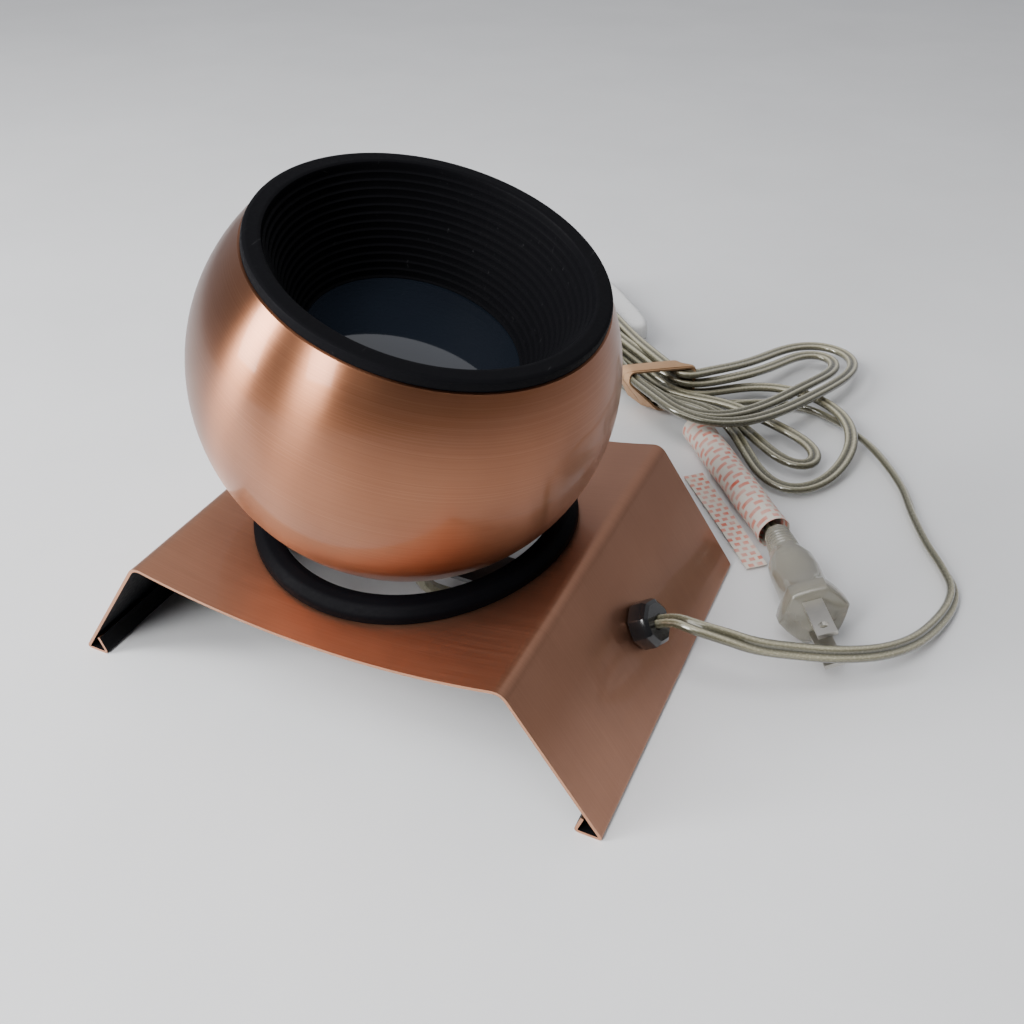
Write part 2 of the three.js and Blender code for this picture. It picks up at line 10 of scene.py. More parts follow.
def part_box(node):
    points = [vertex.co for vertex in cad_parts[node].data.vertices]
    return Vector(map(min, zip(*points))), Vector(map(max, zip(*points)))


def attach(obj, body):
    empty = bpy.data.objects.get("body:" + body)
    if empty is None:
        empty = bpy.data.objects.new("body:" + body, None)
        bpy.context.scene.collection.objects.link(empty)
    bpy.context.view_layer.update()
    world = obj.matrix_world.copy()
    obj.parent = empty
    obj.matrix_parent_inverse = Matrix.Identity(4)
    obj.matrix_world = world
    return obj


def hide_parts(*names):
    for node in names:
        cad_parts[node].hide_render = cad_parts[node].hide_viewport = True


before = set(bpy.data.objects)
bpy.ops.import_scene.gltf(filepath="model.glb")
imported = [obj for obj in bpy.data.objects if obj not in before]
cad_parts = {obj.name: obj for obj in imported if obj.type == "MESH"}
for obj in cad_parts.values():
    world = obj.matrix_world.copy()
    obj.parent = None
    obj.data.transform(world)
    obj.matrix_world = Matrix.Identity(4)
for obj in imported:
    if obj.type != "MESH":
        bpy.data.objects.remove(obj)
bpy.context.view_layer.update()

MM = 0.001

# ---- camera ----
TARGET = Vector((0.0083, 0.0551, 0.0062))
CAMERA_DISTANCE = 0.4028
CAMERA_AZIMUTH = math.radians(25.014)
CAMERA_ELEVATION = math.radians(36.405)
CAMERA_ROLL = math.radians(-0.126)
CAMERA_LENS = 37.06

away = Vector((
    math.cos(CAMERA_ELEVATION) * math.sin(CAMERA_AZIMUTH),
    -math.cos(CAMERA_ELEVATION) * math.cos(CAMERA_AZIMUTH),
    math.sin(CAMERA_ELEVATION),
))
camera_data = bpy.data.cameras.new("camera")
camera_data.lens = CAMERA_LENS
camera_data.clip_start = 0.01
camera = bpy.data.objects.new("camera", camera_data)
bpy.context.scene.collection.objects.link(camera)
aim = (-away).to_track_quat("-Z", "Y") @ Quaternion((0, 0, 1), CAMERA_ROLL)
camera.matrix_world = Matrix.LocRotScale(TARGET + CAMERA_DISTANCE * away, aim, None)
bpy.context.scene.camera = camera

# ---- driving dimensions, as in the CAD ----
SHEET = 1.0 * MM
FOLD_X = 61.5 * MM
FOLD_Z = 45 * MM
TOP_SAG = 7.2 * MM
FOOT_X = 92.5 * MM
FLANGE = 8 * MM
LIP = 6 * MM
LIP_LEAN = 2 * MM
HOLE_RADIUS = 46 * MM
RIVET_X = 49.1 * MM
RING_OUTER = 52.5 * MM
RING_CREST = 5.8 * MM
BALL_RADIUS = 63.5 * MM
BALL_WALL = 1.0 * MM
BALL_CENTRE = Vector((0, 0, 93.8 * MM))
MOUTH_PLANE = 37.0 * MM
TILT = math.radians(18)
TILT_MAX = math.radians(40)
SWIVEL = math.radians(-11)
SLOT_HALF = 5.4 * MM
RIM_RADIUS = 51 * MM
RIM_PLANE = 40.3 * MM
RIM_INNER = 45.6 * MM
RIDGES = 14
LENS_PLANE = 8.5 * MM
LENS_RADIUS = 36 * MM
LENS_VIEW = 32 * MM
LENS_THICKNESS = 2.8 * MM
GAP = 0.3 * MM
BUSHING_Z = 20.5 * MM

leg_slope = Vector((FOOT_X - FOLD_X, 0, -FOLD_Z)).normalized()
leg_normal = Vector((-leg_slope.z, 0, leg_slope.x))
bushing_seat = Vector((FOLD_X + (FOLD_Z - BUSHING_Z) * (FOOT_X - FOLD_X) / FOLD_Z, 0, BUSHING_Z))
ball_matrix = (
    Matrix.Rotation(SWIVEL, 4, "Z")
    @ Matrix.Translation(BALL_CENTRE)
    @ Matrix.Rotation(TILT, 4, "Y")
)


def top_z(x):
    """The height of the bowed top's upper face."""
    return FOLD_Z - TOP_SAG * (1 - (x / FOLD_X) ** 2)


# ---- mesh helpers ----
def add_mesh(name, vertices, faces, uvs=None, face_materials=None):
    """A mesh object; uvs holds one list of corners per face."""
    mesh = bpy.data.meshes.new(name)
    mesh.from_pydata([tuple(v) for v in vertices], [], faces)
    if uvs:
        layer = mesh.uv_layers.new(name="UVMap")
        flat = [corner for face in uvs for corner in face]
        layer.data.foreach_set("uv", [value for corner in flat for value in corner])
    if face_materials:
        mesh.polygons.foreach_set("material_index", face_materials)
    mesh.update()
    piece = bpy.data.objects.new(name, mesh)
    bpy.context.scene.collection.objects.link(piece)
    return piece


def smooth(piece, angle=35):
    mesh = piece.data
    mesh.polygons.foreach_set("use_smooth", [True] * len(mesh.polygons))
    mesh.set_sharp_from_angle(angle=math.radians(angle))


def bevel(piece, width):
    modifier = piece.modifiers.new("bevel", "BEVEL")
    modifier.width = width
    modifier.segments = 2
    modifier.limit_method = "ANGLE"
    modifier.angle_limit = math.radians(35)
    apply_modifiers(piece)


def apply_modifiers(piece):
    graph = bpy.context.evaluated_depsgraph_get()
    made = bpy.data.meshes.new_from_object(piece.evaluated_get(graph))
    piece.modifiers.clear()
    piece.data = made


def cut(piece, *tools):
    """Takes each tool's shape out of the piece, and deletes the tools."""
    for tool in tools:
        modifier = piece.modifiers.new("cut", "BOOLEAN")
        modifier.operation = "DIFFERENCE"
        modifier.solver = "EXACT"
        modifier.object = tool
    apply_modifiers(piece)
    for tool in tools:
        bpy.data.objects.remove(tool)


def loft(name, rows, closed_rows=False, caps=False):
    """Quads between rows of points. UV runs round each row in u and along the rows, in metres, in v."""
    columns = len(rows[0])
    vertices = [point for row in rows for point in row]
    run = [0.0]
    for before, after in zip(rows, rows[1:] + rows[:1]):
        middle_before = sum((Vector(p) for p in before), Vector()) / columns
        middle_after = sum((Vector(p) for p in after), Vector()) / columns
        step = max((middle_after - middle_before).length, (Vector(after[0]) - Vector(before[0])).length)
        run.append(run[-1] + step)
    faces, uvs = [], []
    for i in range(len(rows) if closed_rows else len(rows) - 1):
        j = (i + 1) % len(rows)
        for k in range(columns):
            m = (k + 1) % columns
            faces.append((i * columns + k, i * columns + m, j * columns + m, j * columns + k))
            u0, u1 = k / columns, (k + 1) / columns
            uvs.append(((u0, run[i]), (u1, run[i]), (u1, run[i + 1]), (u0, run[i + 1])))
    if caps:
        first = tuple(range(columns))[::-1]
        last = tuple((len(rows) - 1) * columns + k for k in range(columns))
        faces += [first, last]
        uvs += [[(0.5, 0.0)] * columns, [(0.5, run[len(rows) - 1])] * columns]
    return add_mesh(name, vertices, faces, uvs)


def lathe(name, profile, segments, lift=None):
    """A body turned about Z from a closed line of (radius, height) points; lift(x) raises each point."""
    rows = []
    for radius, height in profile:
        row = []
        for k in range(segments):
            angle = 2 * math.pi * k / segments
            x, y = radius * math.cos(angle), radius * math.sin(angle)
            row.append((x, y, height + (lift(x) if lift else 0)))
        rows.append(row)
    piece = loft(name, rows, closed_rows=True)
    fix_normals(piece)
    return piece


def fix_normals(piece):
    """Joins vertices that lie together and turns every face outwards."""
    mesh = bmesh.new()
    mesh.from_mesh(piece.data)
    bmesh.ops.remove_doubles(mesh, verts=mesh.verts, dist=1e-7)
    bmesh.ops.recalc_face_normals(mesh, faces=mesh.faces)
    mesh.to_mesh(piece.data)
    mesh.free()


def rounded(corners, radius, steps=6):
    """A polyline through (x, z) corners, each rounded by a quadratic."""
    line = [Vector(corners[0])]
    for before, here, after in zip(corners, corners[1:], corners[2:]):
        here = Vector(here)
        start = here + (Vector(before) - here).normalized() * radius
        end = here + (Vector(after) - here).normalized() * radius
        for i in range(steps + 1):
            t = i / steps
            line.append(start * (1 - t) ** 2 + here * 2 * t * (1 - t) + end * t * t)
    line.append(Vector(corners[-1]))
    return line


def cylinder(name, radius, bottom, top, segments=64):
    rows = [
        [(radius * math.cos(a), radius * math.sin(a), z) for a in
         (2 * math.pi * k / segments for k in range(segments))]
        for z in (bottom, top)
    ]
    piece = loft(name, rows, caps=True)
    fix_normals(piece)
    return piece


def settle(piece):
    """Moves a piece's place into its mesh, and keeps its own coordinates for its material."""
    mesh = piece.data
    local = mesh.attributes.new("local", "FLOAT_VECTOR", "POINT")
    local.data.foreach_set("vector", [value for v in mesh.vertices for value in v.co])
    mesh.transform(piece.matrix_world)
    piece.matrix_world = Matrix.Identity(4)
    mesh.update()


def place(piece, body, slot, *nodes):
    """Puts a finished piece on its body and hides the CAD solids that it stands for. The slot, the name of
    its finish, is not used.
    """
    bpy.context.view_layer.update()
    settle(piece)
    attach(piece, body)
    if nodes:
        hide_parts(*nodes)
    return piece


# ---- the cord's centreline ----
BAND = Vector((36, 150))
ARM_ANGLE = math.radians(132)
arm_along = Vector((math.cos(ARM_ANGLE), math.sin(ARM_ANGLE)))
arm_right = Vector((arm_along.y, -arm_along.x))


def arm(along, right, z):
    """A point of the tied arm, in millimetres from the band."""
    place_xy = BAND + arm_along * along + arm_right * right
    return (place_xy.x, place_xy.y, z)


def along_leg(distance):
    """A point on the bushing's axis, in millimetres, at a distance out from the leg."""
    return tuple((bushing_seat + leg_normal * distance * MM) / MM)


free_route = [
    along_leg(1), along_leg(7.4),
    (89.6, -0.4, 27.2), (96, -1.2, 27.6), (105.6, 0.8, 25.6), (113.8, 4, 22.6),
    (125.6, 11.3, 18.6), (137.6, 18.4, 16), (149.2, 29.7, 12), (157.6, 43.2, 8),
    (163.5, 59, 4.8), (166.7, 73.5, 3.2), (166.4, 83, 3), (161.6, 93.5, 3),
    (155.3, 104.4, 3), (148.1, 120.2, 3), (141.3, 137.6, 3.4), (132.6, 151.2, 4.5),
    (124.6, 160.4, 5.6),
]
arrival = [
    (117, 168.5, 5), (107, 177.5, 4), (93, 183.5, 3.6), (76, 182.5, 3.6),
    (60, 173, 3.8), (50, 165, 4), arm(6.5, 13.6, 4.4), arm(30, 13.2, 6),
]


def turn_back(z):
    """The far end of the arm: out on the right, round, and back on the left, at one level."""
    return [
        arm(52, -2.6, z), arm(90, -3.4, z), arm(106, -2.8, z), arm(115, 0.4, z),
        arm(122, 6.4, z), arm(129.5, 9.4, z), arm(137, 4.8, z), arm(137.5, -4.6, z),
        arm(131.5, -10.4, z), arm(122, -11.8, z), arm(100, -11.6, z), arm(60, -11.4, z),
    ]


switch_turn = [
    arm(62, 13, 8), arm(91, 13, 8), arm(120, 13, 8), arm(129, 11, 8),
    arm(137, 4.6, 8), arm(137.5, -4.6, 8), arm(131.5, -10.4, 8), arm(122, -11.8, 8),
    arm(100, -11.6, 8), arm(60, -11.4, 8),
]
small_fold = [
    arm(28, -8, 8.2), arm(6.5, -1.5, 9.4), (49, 151.5, 12.4), (58, 153, 11.6), (69, 150.5, 9.6),
    (80, 142, 8.6), (91, 133, 7.6), (101, 128.5, 7), (108, 136, 6.8), (105, 147, 6.8),
    (95, 153.5, 7.2), (82, 158, 8), (69, 162, 9), (56, 164.5, 9.2), arm(6.5, 9, 9.4), arm(28, 3, 11),
]
low_loop = [
    arm(28, -9, 12.2), arm(6.5, -4.5, 13.2), (46, 147.5, 14.6), (56, 147.5, 14.6), (65, 146, 12.6),
    (76, 136, 8.4), (88, 121, 4.8), (100, 115, 4), (111.5, 125, 4.6), (117, 142, 6.4),
    (117.5, 158, 8.2), (111.5, 174, 8.4), (101, 185.5, 7.6), (87, 191.5, 7), (72, 189, 7.4),
    (58, 178, 8), (49, 168.5, 8.4), arm(6.5, 13.6, 8.8), arm(28, 5, 13),
]
raised_inner = [
    arm(28, -10, 16.2), arm(6.5, -6.5, 17), (40, 142.5, 17.6), (48, 136.5, 17.8), (58, 135, 17.2),
    (68, 143, 15.8), (79, 162, 13.6), (90, 188, 12.2), (97, 207, 10), (99, 221, 8.2),
    (93, 230.5, 7.5), (84, 229, 7.6), (77, 216, 9), (72, 202, 10.6), (66, 190, 12),
    (58, 179, 13), (50, 170.5, 13.2), arm(6.5, 13, 13.2), arm(28, 5.5, 17),
]
raised_outer = [
    arm(28, -11, 20), arm(6.5, -11, 20), (35, 140, 20.2), (46, 131, 20.2), (59, 128, 19),
    (73, 137, 17), (86, 158, 14.4), (97, 184, 12.4), (105, 208, 10.2), (106, 226, 8.4),
    (98, 238, 7.6), (84, 238.5, 7.6), (73, 226, 8.8), (66, 208, 11), (60, 193, 13.6),
    (54, 181, 16), (47.5, 172, 17.6), arm(4, 11.6, 18.4), arm(18, 9.6, 19), arm(36, 6, 19.4),
]
last_turn = [
    arm(60, 4.6, 19.4), arm(95, 4.6, 19.2), arm(115, 8, 18.8), arm(127, 18.4, 16.6),
    arm(138, 14, 13.2), arm(141.6, 3, 9.8), arm(138, -9, 6.6), arm(127, -13, 4.2),
    arm(110, -12, 4), arm(60, -11.2, 4), arm(30, -6, 4.6), arm(12, 1, 5.6), arm(0, 5.6, 6.8),
]
SLEEVE_Z = 7.2
sleeve_start = Vector((55, 141.7, SLEEVE_Z))
sleeve_end = Vector((102.5, 83.4, SLEEVE_Z))
plug_tail = Vector((103.4, 82.2, 7.6))
plug_face = Vector((126.5, 36.9, 12.4))
plug_along = (plug_face - plug_tail).normalized()
sleeve_along = (sleeve_end - sleeve_start).normalized()
tail = [
    (51.4, 147.2, SLEEVE_Z + 0.4), tuple(sleeve_start), tuple(sleeve_start.lerp(sleeve_end, 0.5)),
    tuple(sleeve_end - sleeve_along * 2), tuple(plug_tail + plug_along * 3),
]

cord_points = [Vector(p) * MM for p in (
    free_route + arrival + switch_turn + small_fold + turn_back(12) + low_loop + turn_back(16)
    + raised_inner + turn_back(20) + raised_outer + last_turn + tail
)]


def centripetal(points, spacing):
    """Points at even spacing along a centripetal Catmull-Rom curve."""
    ends = [2 * points[0] - points[1], *points, 2 * points[-1] - points[-2]]
    dense = []
    for a, b, c, d in zip(ends, ends[1:], ends[2:], ends[3:]):
        t1 = math.sqrt((b - a).length)
        t2 = t1 + math.sqrt((c - b).length)
        t3 = t2 + math.sqrt((d - c).length)
        for i in range(24):
            t = t1 + (t2 - t1) * i / 24
            p = a * ((t1 - t) / t1) + b * (t / t1)
            q = b * ((t2 - t) / (t2 - t1)) + c * ((t - t1) / (t2 - t1))
            r = c * ((t3 - t) / (t3 - t2)) + d * ((t - t2) / (t3 - t2))
            first = p * ((t2 - t) / t2) + q * (t / t2)
            second = q * ((t3 - t) / (t3 - t1)) + r * ((t - t1) / (t3 - t1))
            dense.append(first * ((t2 - t) / (t2 - t1)) + second * ((t - t1) / (t2 - t1)))
    dense.append(points[-1])
    even, carried = [dense[0]], 0.0
    for before, after in zip(dense, dense[1:]):
        step = (after - before).length
        while carried + step >= spacing:
            before = before.lerp(after, (spacing - carried) / step)
            even.append(before)
            step = (after - before).length
            carried = 0.0
        carried += step
    if (even[-1] - points[-1]).length < spacing / 2:
        even.pop()
    even.append(points[-1])
    return even


def relaxed(line, start, end, passes):
    """The stretch from start to end, in points, eased as a springy cord eases its sharpest bends."""
    line = [p.copy() for p in line]
    for _ in range(passes):
        before = [p.copy() for p in line]
        for i in range(start, end):
            ease = min(1.0, (i - start + 1) / 8, (end - i) / 8)
            line[i] = before[i].lerp((before[i - 1] + before[i + 1]) / 2, 0.5 * ease)
    return line


LOBE_RADIUS = 1.42 * MM
LOBE_OFFSET = 1.33 * MM
CORD_SPACING = 2.4 * MM
FREE_LENGTH = 270 * MM  # the stretch from the bushing to the hank
TAIL_LENGTH = 105 * MM  # the straight stretch into the plug
RELAX_PASSES = 26
TWIST, TWIST_SWING = 48, 10  # degrees
TWIST_WAVE = 22 * MM
TWIST_START = 12 * MM  # from the bushing to where the twist begins
TWIST_IN = 30 * MM
TWIST_OUT = 50 * MM
cord_line = centripetal(cord_points, CORD_SPACING)
free_end = int(FREE_LENGTH / CORD_SPACING)
tail_start = len(cord_line) - int(TAIL_LENGTH / CORD_SPACING)
cord_line = centripetal(relaxed(cord_line, free_end, tail_start, RELAX_PASSES), CORD_SPACING)


def cord_section():
    """The figure eight of a flat twin cord: two lobes that meet in a groove."""
    points = []
    for side in (1, -1):
        for i in range(11):
            angle = math.radians(-150 + 30 * i)
            points.append((side * (LOBE_OFFSET + LOBE_RADIUS * math.cos(angle)),
                           side * LOBE_RADIUS * math.sin(angle)))
    return points


def cord_twist(run):
    """How far the flat side is turned from level: half on edge along the table, flat in the hank."""
    if run > FREE_LENGTH + TWIST_OUT:
        return 0.0
    turned_in = min(1.0, max(0.0, run - TWIST_START) / TWIST_IN)
    turned_out = min(1.0, (FREE_LENGTH + TWIST_OUT - run) / TWIST_OUT)
    return turned_in * turned_out * math.radians(TWIST + TWIST_SWING * math.sin(run / TWIST_WAVE))


section = cord_section()
cord_rows = []
for i, point in enumerate(cord_line):
    tangent = (cord_line[min(i + 1, len(cord_line) - 1)] - cord_line[max(i - 1, 0)]).normalized()
    side = tangent.cross(Vector((0, 0, 1))).normalized()
    side = Quaternion(tangent, cord_twist(i * CORD_SPACING)) @ side
    over = side.cross(tangent)
    cord_rows.append([point + side * x + over * y for x, y in section])
cord = loft("cord_twin", cord_rows, caps=True)
fix_normals(cord)
smooth(cord, 80)
place(cord, "stand", "clear_vinyl", "cord_free", "cord_hank", "cord_tail")


# ---- material helpers ----
MIX_FACTOR, MIX_FIRST, MIX_SECOND, MIX_RESULT = 0, 6, 7, 2  # a Mix node's colour sockets


class Nodes:
    """Builds one procedural material."""

    def __init__(self, name):
        self.material = bpy.data.materials.new(name)
        self.material.use_nodes = True
        self.tree = self.material.node_tree
        self.shader = self.tree.nodes["Principled BSDF"]

    def add(self, kind, **settings):
        node = self.tree.nodes.new(kind)
        for key, value in settings.items():
            if key in node.inputs:
                node.inputs[key].default_value = value
            else:
                setattr(node, key, value)
        return node

    def link(self, start, end):
        self.tree.links.new(start, end)

    def set(self, **values):
        for key, value in values.items():
            self.shader.inputs[key.replace("_", " ")].default_value = value

    def mapped(self, source, scale=(1, 1, 1), rotation=(0, 0, 0)):
        mapping = self.add("ShaderNodeMapping")
        mapping.inputs["Scale"].default_value = scale
        mapping.inputs["Rotation"].default_value = rotation
        self.link(source, mapping.inputs["Vector"])
        return mapping.outputs["Vector"]

    def coordinates(self, output="Object", scale=(1, 1, 1)):
        return self.mapped(self.add("ShaderNodeTexCoord").outputs[output], scale)

    def local_coordinates(self, scale=(1, 1, 1), rotation=(0, 0, 0)):
        """The piece's own coordinates, as settle() keeps them."""
        source = self.add("ShaderNodeAttribute", attribute_name="local")
        return self.mapped(source.outputs["Vector"], scale, rotation)

    def mix(self, first, second, factor, blend="MIX"):
        """Two colours mixed. Each input is a socket or a constant."""
        node = self.add("ShaderNodeMix", data_type="RGBA", blend_type=blend)
        for index, value in ((MIX_FIRST, first), (MIX_SECOND, second), (MIX_FACTOR, factor)):
            if isinstance(value, bpy.types.NodeSocket):
                self.link(value, node.inputs[index])
            else:
                node.inputs[index].default_value = value
        return node.outputs[MIX_RESULT]

    def noise(self, vector, scale, detail=3.0, roughness=0.5):
        node = self.add("ShaderNodeTexNoise")
        node.inputs["Scale"].default_value = scale
        node.inputs["Detail"].default_value = detail
        node.inputs["Roughness"].default_value = roughness
        self.link(vector, node.inputs["Vector"])
        return node.outputs["Fac"]

    def ramp(self, value, *stops):
        node = self.add("ShaderNodeValToRGB")
        elements = node.color_ramp.elements
        while len(elements) < len(stops):
            elements.new(0.5)
        for element, (position, color) in zip(elements, stops):
            element.position = position
            element.color = color if len(color) == 4 else (*color, 1)
        self.link(value, node.inputs["Fac"])
        return node.outputs["Color"]

    def grey(self, value, low, high):
        return self.ramp(value, (0.3, (low,) * 3), (0.7, (high,) * 3))

    def bump(self, value, strength, distance):
        node = self.add("ShaderNodeBump")
        node.inputs["Strength"].default_value = strength
        node.inputs["Distance"].default_value = distance
        self.link(value, node.inputs["Height"])
        self.link(node.outputs["Normal"], self.shader.inputs["Normal"])


def copper(name, brush_scale, tones, gloss, brushed_round=False):
    """Brushed copper plate under lacquer: fine lines with a slow drift of colour across them."""
    made = Nodes(name)
    lines = made.noise(made.local_coordinates(brush_scale), 1.0, 4.0, 0.65)
    drift = made.noise(made.coordinates(), 26.0, 3.0)
    color = made.ramp(lines, (0.3, tones[0]), (0.55, tones[1]), (0.75, tones[2]))
    stain = made.ramp(drift, (0.35, (0.86, 0.82, 0.80)), (0.65, (1, 1, 1)))
    made.link(made.mix(color, stain, 0.8, "MULTIPLY"), made.shader.inputs["Base Color"])
    made.link(made.grey(lines, *gloss), made.shader.inputs["Roughness"])
    made.set(Metallic=1.0, Coat_Weight=0.3, Coat_Roughness=0.05, Coat_IOR=1.45)
    if brushed_round:
        made.set(Anisotropic=0.94, Anisotropic_Rotation=0.25)
        tangent = made.add("ShaderNodeTangent", direction_type="UV_MAP", uv_map="UVMap")
        made.link(tangent.outputs["Tangent"], made.shader.inputs["Tangent"])
    made.bump(lines, 0.10, 0.00004)
    return made.material


def plain(name, color, roughness, metallic=0.0, spread=0.12, scale=400.0, bump=0.1, **more):
    """A material with fine variation in colour, gloss and height."""
    made = Nodes(name)
    grain = made.noise(made.coordinates(), scale, 4.0, 0.6)
    wear = made.noise(made.coordinates(), scale / 12, 3.0)
    low = tuple(c * (1 - spread) for c in color)
    high = tuple(min(1.0, c * (1 + spread)) for c in color)
    made.link(made.ramp(wear, (0.3, low), (0.7, high)), made.shader.inputs["Base Color"])
    gloss = made.grey(grain, roughness * 0.85, min(1.0, roughness * 1.2))
    made.link(gloss, made.shader.inputs["Roughness"])
    made.set(Metallic=metallic, **more)
    made.bump(grain, bump, 0.0001)
    return made.material


def wear_black(name, roughness):
    """Satin black with thin pale scratches."""
    made = Nodes(name)
    scratch = made.noise(made.coordinates("Object", (900, 60, 300)), 1.0, 2.0, 0.8)
    grain = made.noise(made.coordinates(), 900.0, 4.0, 0.6)
    marks = made.ramp(
        scratch,
        (0.0, (0.004, 0.004, 0.005)), (0.70, (0.005, 0.005, 0.006)), (0.78, (0.03, 0.03, 0.032)),
    )
    made.link(marks, made.shader.inputs["Base Color"])
    made.link(made.grey(grain, roughness * 0.8, roughness * 1.25), made.shader.inputs["Roughness"])
    made.set(Specular_IOR_Level=0.03)
    made.bump(grain, 0.08, 0.00005)
    return made.material


def vinyl(name):
    """Clear flat cord: silvery wires in each lobe under a painted highlight, with painted shade, darker
    and greener, towards the groove and edges.
    """
    made = Nodes(name)
    source = made.add("ShaderNodeTexCoord")
    split = made.add("ShaderNodeSeparateXYZ")
    made.link(source.outputs["UV"], split.inputs["Vector"])
    double = made.add("ShaderNodeMath", operation="MULTIPLY")
    double.inputs[1].default_value = 4.0
    made.link(split.outputs["X"], double.inputs[0])
    round_lobe = made.add("ShaderNodeMath", operation="FRACT")
    made.link(double.outputs[0], round_lobe.inputs[0])
    # Painted light: the bright middle of each band is the wires' silver with a painted highlight; the
    # darker, greener ends are painted shade at the groove and the lobes' edges.
    wire_silver_with_painted_light = made.ramp(
        round_lobe.outputs[0], (0.0, (0.07, 0.065, 0.042)), (0.28, (0.19, 0.175, 0.120)),
        (0.5, (0.58, 0.53, 0.39)), (0.72, (0.19, 0.175, 0.120)), (1.0, (0.07, 0.065, 0.042)),
    )
    strands = made.noise(made.coordinates("UV", (60, 900, 1)), 1.0, 3.0, 0.6)
    shade = made.ramp(strands, (0.3, (0.72, 0.74, 0.68)), (0.7, (1, 1, 1)))
    made.link(made.mix(wire_silver_with_painted_light, shade, 1.0, "MULTIPLY"), made.shader.inputs["Base Color"])
    made.link(made.grey(strands, 0.18, 0.32), made.shader.inputs["Roughness"])
    made.set(Coat_Weight=1.0, Coat_Roughness=0.05, Metallic=0.25)
    return made.material


def printed_paper(name, turn):
    """White paper with rows of faded red blocks, turned to lie across the tag."""
    made = Nodes(name)
    paper = (0.66, 0.61, 0.54, 1)
    blocks = made.add("ShaderNodeTexBrick")
    blocks.inputs["Scale"].default_value = 1.0
    blocks.inputs["Brick Width"].default_value = 0.0034
    blocks.inputs["Row Height"].default_value = 0.0031
    blocks.inputs["Mortar Size"].default_value = 0.0007
    blocks.inputs["Mortar Smooth"].default_value = 0.15
    blocks.inputs["Color1"].default_value = (0.62, 0.12, 0.07, 1)
    blocks.inputs["Color2"].default_value = (0.70, 0.24, 0.17, 1)
    blocks.inputs["Mortar"].default_value = paper
    made.link(made.local_coordinates(rotation=turn), blocks.inputs["Vector"])
    fade = made.noise(made.coordinates(), 220.0, 3.0)
    printed = made.mix(blocks.outputs["Color"], paper, made.grey(fade, 0.0, 0.6))
    made.link(printed, made.shader.inputs["Base Color"])
    made.set(Roughness=0.55)
    made.bump(fade, 0.15, 0.0002)
    return made.material


def floor_surface():
    """A pale satin table top with faint cloudy marks."""
    made = Nodes("pale_table")
    marks = made.noise(made.coordinates(), 9.0, 6.0, 0.6)
    tone = made.ramp(marks, (0.3, (0.71, 0.715, 0.725)), (0.7, (0.76, 0.765, 0.775)))
    made.link(tone, made.shader.inputs["Base Color"])
    made.set(Roughness=0.42)
    return made.material


# ---- materials ----
ball_copper = copper(
    "copper_ball", (1.5, 1.5, 2600),
    ((0.29, 0.120, 0.062), (0.345, 0.148, 0.079), (0.42, 0.190, 0.107)), (0.28, 0.34), True,
)
stand_copper = copper(
    "copper_stand", (30, 2200, 30),
    ((0.41, 0.200, 0.123), (0.44, 0.218, 0.135), (0.47, 0.236, 0.148)), (0.38, 0.46),
)
edge_copper = plain("copper_edge", (0.50, 0.26, 0.16), 0.4, metallic=1.0, spread=0.08)
under_black = plain("black_underside", (0.004, 0.004, 0.005), 0.5, scale=700.0, Specular_IOR_Level=0.12)
ring_black = plain(
    "ring_rubber", (0.003, 0.003, 0.004), 0.5, scale=900.0, bump=0.15, Specular_IOR_Level=0.03,
)
baffle_black = wear_black("baffle_black", 0.48)
gloss_black = plain("bushing_black", (0.010, 0.010, 0.011), 0.14, scale=600.0, bump=0.04, Coat_Weight=0.3)
lens_dark = plain("lens_glass", (0.012, 0.016, 0.024), 0.05, spread=0.05, bump=0.0, Coat_Weight=1.0)
enamel = plain("black_enamel", (0.02, 0.02, 0.022), 0.35, scale=500.0)
bare_steel = plain("bare_steel", (0.55, 0.55, 0.55), 0.34, metallic=1.0)
blade_metal = plain("blade_metal", (0.52, 0.50, 0.46), 0.33, metallic=1.0, spread=0.2, scale=700.0)
brass = plain("brass", (0.72, 0.52, 0.22), 0.32, metallic=1.0)
porcelain = plain("porcelain", (0.74, 0.72, 0.66), 0.35)
bulb_white = plain("bulb_white", (0.82, 0.82, 0.79), 0.22, spread=0.04, bump=0.02)
clear_cord = vinyl("clear_cord")
plug_clear = plain(
    "clear_plug", (0.42, 0.40, 0.33), 0.22, spread=0.18, scale=260.0, bump=0.06,
    Transmission_Weight=0.6, Coat_Weight=0.6,
)
lead_vinyl = plain("lead_vinyl", (0.30, 0.28, 0.20), 0.28, spread=0.2, Coat_Weight=0.5)
tan_rubber = plain("tan_rubber", (0.42, 0.25, 0.135), 0.62, scale=700.0, bump=0.25)
white_plastic = plain("white_plastic", (0.78, 0.78, 0.77), 0.30, spread=0.03, bump=0.03)
roll_paper = printed_paper("tag_paper_roll", (math.pi / 2, 0, 0))
flap_paper = printed_paper("tag_paper_flap", (0, 0, math.pi / 2))

cord.data.materials.append(clear_cord)

# ---- stand ----
COPPER_SIDE, BLACK_SIDE, CUT_EDGE = 0, 1, 2
FOOT_BEND = 1.4 * MM
FOLD_BEND = 3 * MM
CROWN_START = 7 * MM  # from the fold to where the bowed top begins
CROWN_STEP = 3.4 * MM
CORD_HOLE_RADIUS = 6.4 * MM


